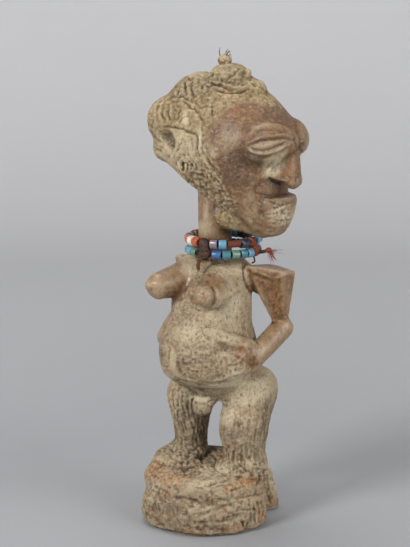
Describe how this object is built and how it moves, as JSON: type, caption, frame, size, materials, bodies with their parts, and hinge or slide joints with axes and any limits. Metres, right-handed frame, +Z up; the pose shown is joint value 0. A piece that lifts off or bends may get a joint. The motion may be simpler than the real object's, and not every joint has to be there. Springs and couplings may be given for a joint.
{
  "type": "carved power figure",
  "caption": "Standing carved wooden figure with its head turned over one shoulder, hands on the belly, a drum base, a charge in the crown and a string of glass beads round the neck.",
  "frame": {"origin": "centre of the flat underside of the base, on the surface that the figure stands on", "axes": "+Z up; the body faces -Y; the figure's own left side is +X, and the face looks along +X"},
  "size_m": [0.1154, 0.0945, 0.3171],
  "materials": {
    "carved_wood": "dry hand-carved hardwood with worn polish on the arms and face",
    "charge_resin": "dull pale resin paste",
    "plant_fibre": "twisted plant fibre, frayed at the ends",
    "glass_brown": "opaque drawn glass, worn",
    "glass_orange": "opaque drawn glass, worn",
    "glass_white": "opaque drawn glass, worn",
    "glass_grey": "opaque drawn glass, worn",
    "glass_sky": "opaque drawn glass, worn",
    "glass_navy": "opaque drawn glass, worn",
    "glass_blue": "opaque drawn glass, worn",
    "glass_teal": "opaque drawn glass, worn",
    "glass_black": "opaque drawn glass, worn",
    "glass_green": "opaque drawn glass, worn"
  },
  "bodies": {
    "root": {"figure": "carved_wood", "crown_charge": "charge_resin", "bead_string": "plant_fibre", "bead_upper_1": "glass_brown", "bead_upper_2": "glass_orange", "bead_upper_3": "glass_white", "bead_upper_4": "glass_orange", "bead_upper_6": "glass_grey", "bead_upper_7": "glass_sky", "bead_upper_9": "glass_navy", "bead_upper_11": "glass_sky", "bead_upper_12": "glass_grey", "bead_upper_13": "glass_navy", "bead_upper_14": "glass_blue", "bead_upper_15": "glass_brown", "bead_upper_16": "glass_navy", "bead_upper_17": "glass_teal", "bead_upper_18": "glass_brown", "bead_upper_19": "glass_orange", "bead_upper_20": "glass_black", "bead_upper_21": "glass_navy", "bead_upper_22": "glass_brown", "bead_lower_1": "glass_teal", "bead_lower_2": "glass_sky", "bead_lower_3": "glass_green", "bead_lower_5": "glass_blue", "bead_lower_6": "glass_teal", "bead_lower_7": "glass_green", "bead_lower_8": "glass_teal", "bead_lower_9": "glass_sky", "bead_lower_11": "glass_blue", "bead_lower_12": "glass_teal", "bead_lower_13": "glass_green", "bead_lower_14": "glass_navy", "bead_lower_15": "glass_teal", "bead_lower_16": "glass_blue", "bead_lower_17": "glass_green", "bead_lower_18": "glass_teal", "bead_lower_19": "glass_navy", "bead_lower_20": "glass_sky", "bead_lower_21": "glass_teal"}
  },
  "joints": []
}
